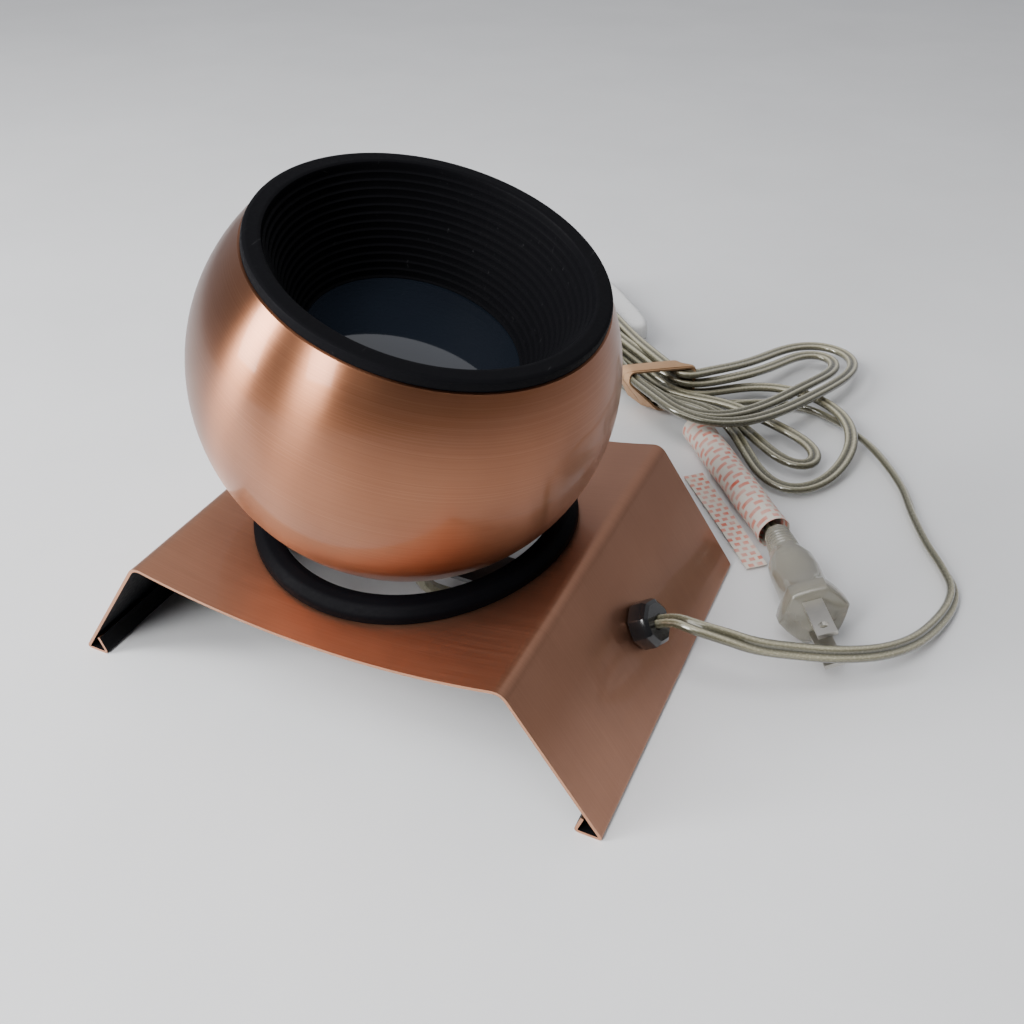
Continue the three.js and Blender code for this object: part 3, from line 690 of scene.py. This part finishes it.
def plate_line():
    """The middle of the sheet as (x, z) points, from the right foot's lip to the left foot's.

    Its corners lie inside the CAD's so that the outer face meets the CAD's after the rounding.
    """
    half = SHEET / 2
    foot_x = FOOT_X - half / math.cos(math.atan2(FOOT_X - FOLD_X, FOLD_Z)) - 0.35 * MM
    fold = (FOLD_X - 0.45 * MM, FOLD_Z - 0.62 * MM)
    lip_end = (foot_x - FLANGE + LIP_LEAN, half + LIP)
    flange_in = (foot_x - FLANGE, half)
    flange_out = (foot_x, half)
    crown = []
    x = FOLD_X - CROWN_START
    while x >= 0:
        crown.append(Vector((x, top_z(x) - half)))
        x -= CROWN_STEP
    foot = rounded([lip_end, flange_in, flange_out, fold], FOOT_BEND)[:-1]
    bend = rounded([flange_out, fold, tuple(crown[0])], FOLD_BEND, 9)[1:]
    right_side = foot + bend + crown[1:]
    left_side = [Vector((-p.x, p.y)) for p in reversed(right_side)]
    return right_side + left_side


def build_plate():
    """The bent sheet: copper outside, black inside and on the folded feet, bright on its cut edges."""
    middle_line = plate_line()
    outside, inside = [], []
    for i, point in enumerate(middle_line):
        step = middle_line[min(i + 1, len(middle_line) - 1)] - middle_line[max(i - 1, 0)]
        across = Vector((step.y, -step.x)).normalized() * SHEET / 2
        outside.append(point + across)
        inside.append(point - across)
    outline = outside + inside[::-1]
    count = len(outline)
    low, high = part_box("stand_sheet")
    vertices = [(p.x, y, p.y) for y in (low.y, high.y) for p in outline]
    faces, kinds = [], []
    for i in range(count):
        j = (i + 1) % count
        faces.append((i, j, count + j, count + i))
        middle = (outline[i] + outline[j]) / 2
        leg_x = FOOT_X - middle.y * (FOOT_X - FOLD_X) / FOLD_Z
        folded = middle.y < LIP + 2 * SHEET and abs(middle.x) < leg_x - 2 * SHEET
        outer = i < len(outside) - 1 and not folded
        edge = i in (len(outside) - 1, count - 1)
        kinds.append(CUT_EDGE if edge else COPPER_SIDE if outer else BLACK_SIDE)
    for i in range(len(outside) - 1):
        a, b = i, i + 1
        c, d = count - 2 - i, count - 1 - i
        faces.append((a, b, c, d))
        faces.append((count + d, count + c, count + b, count + a))
        kinds += [CUT_EDGE, CUT_EDGE]
    piece = add_mesh("stand_plate", vertices, faces, None, kinds)
    fix_normals(piece)
    return piece


plate = build_plate()
to_bushing = Vector((0, 0, 1)).rotation_difference(leg_normal).to_matrix().to_4x4()
bushing_matrix = Matrix.Translation(bushing_seat) @ to_bushing
hole = cylinder("hole_tool", HOLE_RADIUS, FOLD_Z - 20 * MM, FOLD_Z + 5 * MM, 160)
cord_hole = cylinder("cord_hole_tool", CORD_HOLE_RADIUS, -4 * MM, 4 * MM, 48)
cord_hole.matrix_world = bushing_matrix
for material in (stand_copper, under_black, edge_copper):
    plate.data.materials.append(material)
cut(plate, hole, cord_hole)
smooth(plate, 30)
place(plate, "stand", "copper_plate", "stand_sheet")

# ---- trim ring ----
NOTCH_HALF = 8.6 * MM
NOTCH_IN = 4 * MM  # from a rivet to the middle of the notch over it
NOTCH_BOTTOM = 28 * MM


def build_ring():
    """A black crown over the hole's edge that follows the bowed top, notched underneath for the rivets."""
    outer, hole_edge, crest = RING_OUTER / MM, HOLE_RADIUS / MM, RING_CREST / MM
    crown = rounded([
        (outer, 0.3), (outer - 0.1, 2.4), (outer - 2.4, 5.0), (outer - 5.6, crest),
        (outer - 7.8, crest - 0.3), (outer - 8, -2.9),
    ], 1.0)
    profile = [tuple(p) for p in crown] + [
        (hole_edge + 1.2, -2.9), (hole_edge + 1.2, -1.3), (hole_edge - 0.35, -1.3),
        (hole_edge - 0.35, 0.3), (hole_edge + 0.4, 0.3), (hole_edge + 0.6, 3.2),
        (outer - 1.8, 2.6), (outer - 1.1, 0.3),
    ]
    piece = lathe("trim_bead", [(r * MM, z * MM) for r, z in profile], 192, top_z)
    square = Matrix.Rotation(math.pi / 4, 4, "Z")
    for side in (-1, 1):
        tool = cylinder("notch_tool", NOTCH_HALF, NOTCH_BOTTOM, top_z(RIVET_X) - SHEET, 4)
        tool.matrix_world = Matrix.Translation((side * (RIVET_X - NOTCH_IN), 0, 0)) @ square
        cut(piece, tool)
    return piece


ring = build_ring()
ring.data.materials.append(ring_black)
smooth(ring, 40)
place(ring, "stand", "black_rubber", "trim_ring")

# ---- ball ----
NEAR_POLE = math.radians(179.6)
SLOT_OUT = 4 * MM
SLOT_IN = 6 * MM


def sphere_arc(radius, start, end, steps):
    """(radius, height) points along a sphere, from one polar angle to another."""
    angles = [start + (end - start) * i / steps for i in range(steps + 1)]
    return [(radius * math.sin(a), radius * math.cos(a)) for a in angles]


def build_slot_tools():
    """The stem's slot as tools: a curved bar along the bottom of the ball and a round end at each stop."""
    profile = []
    for radius, order in ((BALL_RADIUS + SLOT_OUT, 1), (BALL_RADIUS - SLOT_IN, -1)):
        angles = [TILT_MAX * i / 20 for i in range(21)]
        profile += [(radius * math.sin(a), -radius * math.cos(a)) for a in angles][::order]
    rows = [[(x, y, z) for x, z in profile] for y in (-SLOT_HALF, SLOT_HALF)]
    bar = loft("slot_tool", rows, caps=True)
    fix_normals(bar)
    tools = [bar]
    for angle in (0, TILT_MAX):
        end = cylinder("slot_end_tool", SLOT_HALF, -BALL_RADIUS - SLOT_OUT, -BALL_RADIUS + SLOT_IN, 40)
        end.matrix_world = Matrix.Rotation(-angle, 4, "Y")
        tools.append(end)
    return tools


inner_radius = BALL_RADIUS - BALL_WALL
outer_arc = sphere_arc(BALL_RADIUS, NEAR_POLE, math.acos(MOUTH_PLANE / BALL_RADIUS), 56)
inner_arc = sphere_arc(inner_radius, NEAR_POLE, math.acos(MOUTH_PLANE / inner_radius), 40)
shell = lathe("ball_skin", outer_arc + inner_arc[::-1], 160)
cut(shell, *build_slot_tools())
shell.data.materials.append(ball_copper)
smooth(shell, 40)
shell.matrix_world = ball_matrix
place(shell, "ball", "copper_plate", "ball_shell")


# ---- baffle and lens ----
def baffle_profile():
    """(radius, height) points: the flat rim, the ridges down to the glass, and back up the outside."""
    bottom = LENS_PLANE + GAP
    ridge_depth = (RIM_PLANE - 0.8 * MM - bottom) / RIDGES
    ridge_step = (RIM_INNER - LENS_VIEW) / RIDGES
    profile = [
        (RIM_INNER + 1.4 * MM, RIM_PLANE), (RIM_INNER + 0.9 * MM, RIM_PLANE),
        (RIM_INNER + 0.3 * MM, RIM_PLANE - 0.25 * MM),
    ]
    for i in range(RIDGES):
        radius = RIM_INNER - ridge_step * i
        z = RIM_PLANE - 0.8 * MM - ridge_depth * i
        profile += [
            (radius, z), (radius, z - ridge_depth * 0.55),
            (radius - ridge_step * 0.25, z - ridge_depth * 0.85),
            (radius - ridge_step * 0.8, z - ridge_depth * 0.97),
        ]
    skirt_low = bottom - 6 * MM
    return profile + [
        (LENS_VIEW, bottom), (LENS_RADIUS + GAP, bottom), (LENS_RADIUS + GAP, skirt_low),
        (LENS_RADIUS + 1.6 * MM, skirt_low), (LENS_RADIUS + 1.8 * MM, bottom + 2 * MM),
        (RIM_RADIUS - 2.8 * MM, MOUTH_PLANE - 4 * MM), (RIM_RADIUS - 2.4 * MM, MOUTH_PLANE + GAP),
        (RIM_RADIUS, MOUTH_PLANE + GAP), (RIM_RADIUS, RIM_PLANE - 1.0 * MM),
        (RIM_RADIUS - 0.3 * MM, RIM_PLANE - 0.35 * MM), (RIM_RADIUS - 1.0 * MM, RIM_PLANE),
        (RIM_RADIUS - 1.5 * MM, RIM_PLANE),
    ]


stepped = lathe("baffle_cone", baffle_profile(), 192)
stepped.data.materials.append(baffle_black)
smooth(stepped, 38)
stepped.matrix_world = ball_matrix
place(stepped, "baffle", "baffle_black", "baffle")

lens = cylinder("lens_disc", LENS_RADIUS, LENS_PLANE - LENS_THICKNESS, LENS_PLANE, 128)
bevel(lens, 0.4 * MM)
lens.data.materials.append(lens_dark)
smooth(lens, 30)
lens.matrix_world = ball_matrix
place(lens, "baffle", "lens_glass", "lens")


# ---- bushing ----
BORE_RADIUS = 2.9
BORE_SQUEEZE = 0.6  # the bore is an oval that fits the flat cord
EIGHT_SIDES = 0.75  # how far the head goes from round to eight-sided


def build_bushing():
    """The strain relief: a round neck through the leg and an eight-sided head on it."""
    bore = BORE_RADIUS
    outline = [
        (bore, -8.5), (5.6, -8.5), (7.0, -6.5), (7.0, -1.3), (6.1, -1.3), (6.1, 0.3),
        (7.6, 0.3), (7.9, 0.9), (7.9, 4.9), (7.3, 6.3), (6.2, 7.0), (bore + 0.5, 7.0), (bore, 6.5),
    ]
    rows = []
    for radius, z in outline:
        eight_sided = z > 0 and radius > 5
        row = []
        for k in range(96):
            angle = 2 * math.pi * k / 96
            flat = math.cos(math.pi / 8) / math.cos((angle % (math.pi / 4)) - math.pi / 8)
            r = radius * (flat * EIGHT_SIDES + (1 - EIGHT_SIDES) if eight_sided else 1)
            squeeze = BORE_SQUEEZE if radius < bore + 1 else 1
            row.append((r * squeeze * MM * math.cos(angle), r * MM * math.sin(angle), z * MM))
        rows.append(row)
    piece = loft("bushing_head", rows, closed_rows=True)
    fix_normals(piece)
    return piece


bushing = build_bushing()
bushing.data.materials.append(gloss_black)
smooth(bushing, 32)
bushing.matrix_world = bushing_matrix
place(bushing, "stand", "black_plastic", "strain_relief")


# ---- band, tag, plug ----
# In millimetres, like every size below that isn't multiplied by MM.
BAND_REACH = 3.1  # from a strand's middle to the band's outside
BAND_TURNS = ((9.6, 1.4, 0.0), (12.4, -1.6, 0.5))  # place along the arm, skew, lift
BAND_WIDTH = ((-3.1, 0.0), (-1.9, 0.35), (0, 0.45), (1.9, 0.35), (3.1, 0.0))  # across, crest
BAND_POINTS = 72
BAND_HOLDS = 2.4  # a point of the cord this near along the arm is held
BAND_SIDE = 17  # and this near to the arm's middle line


def build_band():
    """A rubber band pulled tight round every strand that passes through it, in two skewed turns."""
    marks = []
    for point in cord_line:
        offset = Vector((point.x / MM, point.y / MM)) - BAND
        marks.append((offset.dot(arm_along), Vector((offset.dot(arm_right), point.z / MM))))
    vertices, faces = [], []
    for middle, skew, lift in BAND_TURNS:
        rows = []
        for across, crest in BAND_WIDTH:
            row = []
            for k in range(BAND_POINTS):
                angle = 2 * math.pi * k / BAND_POINTS
                outward = Vector((math.cos(angle), math.sin(angle)))
                along = middle + across + skew * math.sin(angle + 0.7)
                held = [p for at, p in marks if abs(at - along) < BAND_HOLDS and abs(p.x) < BAND_SIDE]
                best = max(held, key=outward.dot)
                pulled = best + outward * (BAND_REACH + lift + crest)
                row.append(Vector(arm(along, pulled.x, max(pulled.y, 0.3))) * MM)
            rows.append(row)
        first = len(vertices)
        vertices += [p for row in rows for p in row]
        for i in range(len(rows) - 1):
            here, after = first + i * BAND_POINTS, first + (i + 1) * BAND_POINTS
            for k in range(BAND_POINTS):
                m = (k + 1) % BAND_POINTS
                faces.append((here + k, here + m, after + m, after + k))
    piece = add_mesh("rubber_band", vertices, faces)
    fix_normals(piece)
    modifier = piece.modifiers.new("wall", "SOLIDIFY")
    modifier.thickness = 1.0 * MM
    modifier.offset = -1
    apply_modifiers(piece)
    fix_normals(piece)
    return piece


band = build_band()
band.data.materials.append(tan_rubber)
smooth(band, 40)
place(band, "stand", "tan_rubber", "hank_band")


def along_matrix(start, direction, roll=0.0):
    """Puts a piece built along Z at a point in millimetres, pointing in a direction."""
    turn = Vector((0, 0, 1)).rotation_difference(direction).to_matrix().to_4x4()
    return Matrix.Translation(start * MM) @ turn @ Matrix.Rotation(roll, 4, "Z")


SLEEVE_ROWS, SLEEVE_STEPS = 24, 72
SLEEVE_RADIUS = 5.75
PAPER = 0.18  # its thickness


def build_sleeve():
    """Paper rolled round the cord: a spiral whose outer edge laps past its inner one."""
    length = (sleeve_end - sleeve_start).length
    rows = []
    for v in range(SLEEVE_ROWS + 1):
        row = []
        for side in (0, 1):
            steps = range(SLEEVE_STEPS + 1) if side == 0 else range(SLEEVE_STEPS, -1, -1)
            for k in steps:
                angle = math.radians(-20 + 400 * k / SLEEVE_STEPS)
                spiral = 0.85 * k / SLEEVE_STEPS
                crumple = 0.12 * math.sin(v * 0.7 + angle * 2)
                radius = SLEEVE_RADIUS + spiral + PAPER * side + crumple
                row.append((radius * math.cos(angle) * MM, radius * math.sin(angle) * MM,
                            v / SLEEVE_ROWS * length * MM))
        rows.append(row)
    piece = loft("tag_roll", rows, caps=True)
    fix_normals(piece)
    piece.matrix_world = along_matrix(sleeve_start, sleeve_along)
    return piece


sleeve = build_sleeve()
sleeve.data.materials.append(roll_paper)
smooth(sleeve, 50)
place(sleeve, "stand", "tag_paper", "tag_sleeve")

FLAP_LENGTH, FLAP_WIDTH = 61, 8
FLAP_ALONG, FLAP_ASIDE = 55.5, 11.3  # from the sleeve's start to the flap's middle
FLAP_LEVELS = (1.1, 1.5)  # its two faces


def build_flap():
    """The tag's free end, a thin strip with a slight curl beside the sleeve."""
    cells_long, cells_wide = 30, 8
    line = cells_wide + 1
    layer = (cells_long + 1) * line
    vertices = []
    for level in FLAP_LEVELS:
        for i in range(cells_long + 1):
            for j in range(line):
                x = (i / cells_long - 0.5) * FLAP_LENGTH
                y = (j / cells_wide - 0.5) * FLAP_WIDTH
                curl = 0.45 * math.sin(i / cells_long * math.pi) + 0.5 * (j / cells_wide) ** 2
                vertices.append((x * MM, y * MM, (level + curl) * MM))
    faces = []
    for start in (0, layer):
        for i in range(cells_long):
            for j in range(cells_wide):
                a = start + i * line + j
                faces.append((a, a + 1, a + line + 1, a + line))
    rim = [i * line for i in range(cells_long + 1)]
    rim += [cells_long * line + j for j in range(1, line)]
    rim += [i * line + cells_wide for i in range(cells_long - 1, -1, -1)]
    rim += list(range(cells_wide - 1, 0, -1))
    for a, b in zip(rim, rim[1:] + rim[:1]):
        faces.append((a, b, b + layer, a + layer))
    piece = add_mesh("tag_flap", vertices, faces)
    fix_normals(piece)
    side = Vector((sleeve_along.y, -sleeve_along.x, 0))
    middle = sleeve_start + sleeve_along * FLAP_ALONG + side * FLAP_ASIDE
    turn = Matrix.Rotation(math.atan2(sleeve_along.y, sleeve_along.x), 4, "Z")
    piece.matrix_world = Matrix.Translation((middle.x * MM, middle.y * MM, 0)) @ turn
    return piece


flap = build_flap()
flap.data.materials.append(flap_paper)
smooth(flap, 40)
place(flap, "stand", "tag_paper", "tag_flat")

PLUG_LENGTH = 51
PLUG_RIBS = 7
PLUG_ROLL = math.radians(45)


def build_plug():
    """A ribbed tail that widens to a six-cornered flange."""
    outline = [(0.3, 0), (3.6, 0), (4.4, 0.6)]
    for i in range(PLUG_RIBS):
        z = 2 + i * 1.9
        outline += [(4.3 + 0.14 * i, z), (4.9 + 0.16 * i, z + 0.5), (4.9 + 0.16 * i, z + 1.2)]
    outline += [(6.6, 17), (8.2, 21), (8.6, 27), (8.4, 34), (8.8, 41), (9.6, 43.4), (11.4, 44.6),
                (11.8, 45.4), (11.8, PLUG_LENGTH - 1.4), (11.3, PLUG_LENGTH - 0.4),
                (10.6, PLUG_LENGTH), (0.3, PLUG_LENGTH)]
    rows = []
    for radius, z in outline:
        corner = min(1.0, max(0.0, (z - 38) / 6))
        waist = min(1.0, max(0.0, (z - 18) / 6)) * (1 - corner)
        row = []
        for k in range(96):
            angle = 2 * math.pi * k / 96
            hexagon = math.cos(math.pi / 6) / math.cos((angle % (math.pi / 3)) - math.pi / 6)
            r = radius * (1 + corner * 0.7 * (hexagon - 1))
            x = r * math.cos(angle)
            y = r * math.sin(angle) * (1 - 0.22 * waist)
            row.append((x * MM, y * MM, z * MM))
        rows.append(row)
    piece = loft("plug_shell", rows, caps=True)
    fix_normals(piece)
    piece.matrix_world = along_matrix(plug_tail, plug_along, PLUG_ROLL)
    return piece


plug = build_plug()
plug.data.materials.append(plug_clear)
smooth(plug, 34)
place(plug, "stand", "clear_vinyl", "plug_body")

# ---- switch ----
SWITCH_LENGTH, SWITCH_WIDTH, SWITCH_TOP, SWITCH_SPLIT, SWITCH_GAP = 58, 20, 16, 8, 0.3
SWITCH_ALONG, SWITCH_RIGHT = 91, 13  # from the band
WHEEL_RADIUS, WHEEL_LOW, WHEEL_HIGH = 11, 6, 10
switch_xy = BAND + arm_along * SWITCH_ALONG + arm_right * SWITCH_RIGHT
switch_turn_z = Matrix.Rotation(math.atan2(arm_along.y, arm_along.x), 4, "Z")
switch_matrix = Matrix.Translation((switch_xy.x * MM, switch_xy.y * MM, 0)) @ switch_turn_z
# Each level: how far up the half, and how far in from its side.
COVER_LEVELS = ((0, 0.0), (0.45, 0.0), (0.72, 0.35), (0.88, 1.0), (0.97, 2.0), (1, 3.2))
BASE_LEVELS = ((0, 3.0), (0.04, 1.9), (0.14, 0.9), (0.32, 0.2), (0.6, 0.0), (1, 0.0))
SQUARENESS = 4.5  # the power that rounds its corners: 2 is an ellipse


def build_switch_half(name, low, high, levels):
    """Half of the switch's rounded box, with a pocket for the wheel."""
    rows = []
    for t, inset in levels:
        row = []
        for k in range(96):
            angle = 2 * math.pi * k / 96
            c0, s0 = math.cos(angle), math.sin(angle)
            square = 1 / (abs(c0) ** SQUARENESS + abs(s0) ** SQUARENESS) ** (1 / SQUARENESS)
            row.append(((SWITCH_LENGTH / 2 - inset) * c0 * square * MM,
                        (SWITCH_WIDTH / 2 - inset) * s0 * square * MM,
                        (low + (high - low) * t) * MM))
        rows.append(row)
    piece = loft(name, rows, caps=True)
    fix_normals(piece)
    cut(piece, cylinder("wheel_tool", (WHEEL_RADIUS + 0.4) * MM, (WHEEL_LOW - 0.3) * MM,
                        (WHEEL_HIGH + 0.3) * MM, 64))
    piece.data.materials.append(white_plastic)
    smooth(piece, 32)
    piece.matrix_world = switch_matrix
    return piece


base = build_switch_half("switch_lower", SWITCH_GAP, SWITCH_SPLIT, BASE_LEVELS)
place(base, "stand", "white_plastic", "switch_base")
cover = build_switch_half("switch_upper", SWITCH_SPLIT + SWITCH_GAP, SWITCH_TOP, COVER_LEVELS)
place(cover, "stand", "white_plastic", "switch_cover")


def build_wheel():
    """The thumb wheel, with a ribbed edge."""
    rows = []
    for t, inset in ((0, 0.7), (0.12, 0.1), (0.88, 0.1), (1, 0.7)):
        row = []
        for k in range(180):
            angle = 2 * math.pi * k / 180
            tooth = 0.35 if k % 5 < 2 else 0
            r = WHEEL_RADIUS - inset - tooth
            row.append((r * math.cos(angle) * MM, r * math.sin(angle) * MM,
                        (WHEEL_LOW + (WHEEL_HIGH - WHEEL_LOW) * t) * MM))
        rows.append(row)
    piece = loft("switch_knurl", rows, caps=True)
    fix_normals(piece)
    piece.data.materials.append(white_plastic)
    smooth(piece, 30)
    piece.matrix_world = switch_matrix
    return piece


wheel = build_wheel()
place(wheel, "switch_wheel", "white_plastic", "switch_wheel")

# ---- carried-over CAD pieces ----
FINISHES = {
    "hanger_strap": enamel, "strap_rivet_left": bare_steel, "strap_rivet_right": bare_steel,
    "stem_nipple": brass, "stem_lead": lead_vinyl, "swivel_nut": bare_steel,
    "swivel_washer_lower": bare_steel, "swivel_washer_upper": ring_black,
    "outer_saddle": gloss_black, "inner_saddle": enamel, "saddle_nut": bare_steel,
    "lampholder_body": porcelain, "lampholder_shell": brass, "lampholder_contact": brass,
    "bulb_cap": brass, "bulb_glass": bulb_white, "lens_retainer": bare_steel,
    "inner_lead": lead_vinyl, "plug_blade_near": blade_metal, "plug_blade_far": blade_metal,
}
for node, finish in FINISHES.items():
    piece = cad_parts[node]
    piece.data.materials.clear()
    piece.data.materials.append(finish)

# ---- table and light ----
TABLE_HALF = 3.0
table = add_mesh(
    "table",
    [(-TABLE_HALF, -TABLE_HALF, 0), (TABLE_HALF, -TABLE_HALF, 0),
     (TABLE_HALF, TABLE_HALF, 0), (-TABLE_HALF, TABLE_HALF, 0)],
    [(0, 1, 2, 3)],
)
table.data.materials.append(floor_surface())


def area_light(name, position, target, size, power):
    data = bpy.data.lights.new(name, "AREA")
    data.shape = "RECTANGLE"
    data.size, data.size_y = size
    data.energy = power
    light = bpy.data.objects.new(name, data)
    bpy.context.scene.collection.objects.link(light)
    direction = Vector(target) - Vector(position)
    light.matrix_world = Matrix.LocRotScale(Vector(position), direction.to_track_quat("-Z", "Y"), None)


area_light("window_left", (-0.80, -0.55, 0.58), (0, 0, 0.08), (0.26, 0.8), 16.0)
area_light("window_front", (-0.26, -1.0, 0.78), (0, 0, 0.05), (0.30, 0.8), 17.0)
area_light("overhead", (-0.1, -0.42, 1.25), (0, 0, 0), (0.9, 0.5), 7.0)


def build_room():
    """A room that is dark behind the camera and bright behind and above the lamp."""
    world = bpy.data.worlds.new("room")
    bpy.context.scene.world = world
    world.use_nodes = True
    room = world.node_tree
    background = room.nodes["Background"]
    ramp = room.nodes.new("ShaderNodeValToRGB")
    coordinates = room.nodes.new("ShaderNodeTexCoord")
    towards = room.nodes.new("ShaderNodeVectorMath")
    towards.operation = "DOT_PRODUCT"
    towards.inputs[1].default_value = (-0.25, 0.54, 0.80)
    forward = room.nodes.new("ShaderNodeMapRange")
    forward.inputs["From Min"].default_value = -1
    room.links.new(coordinates.outputs["Generated"], towards.inputs[0])
    room.links.new(towards.outputs["Value"], forward.inputs["Value"])
    room.links.new(forward.outputs["Result"], ramp.inputs["Fac"])
    room.links.new(ramp.outputs["Color"], background.inputs["Color"])
    dark, bright = ramp.color_ramp.elements
    dark.position = 0.45
    dark.color = (0.03, 0.03, 0.032, 1)
    bright.position = 0.97
    bright.color = (0.88, 0.89, 0.93, 1)
    background.inputs["Strength"].default_value = 0.7


build_room()
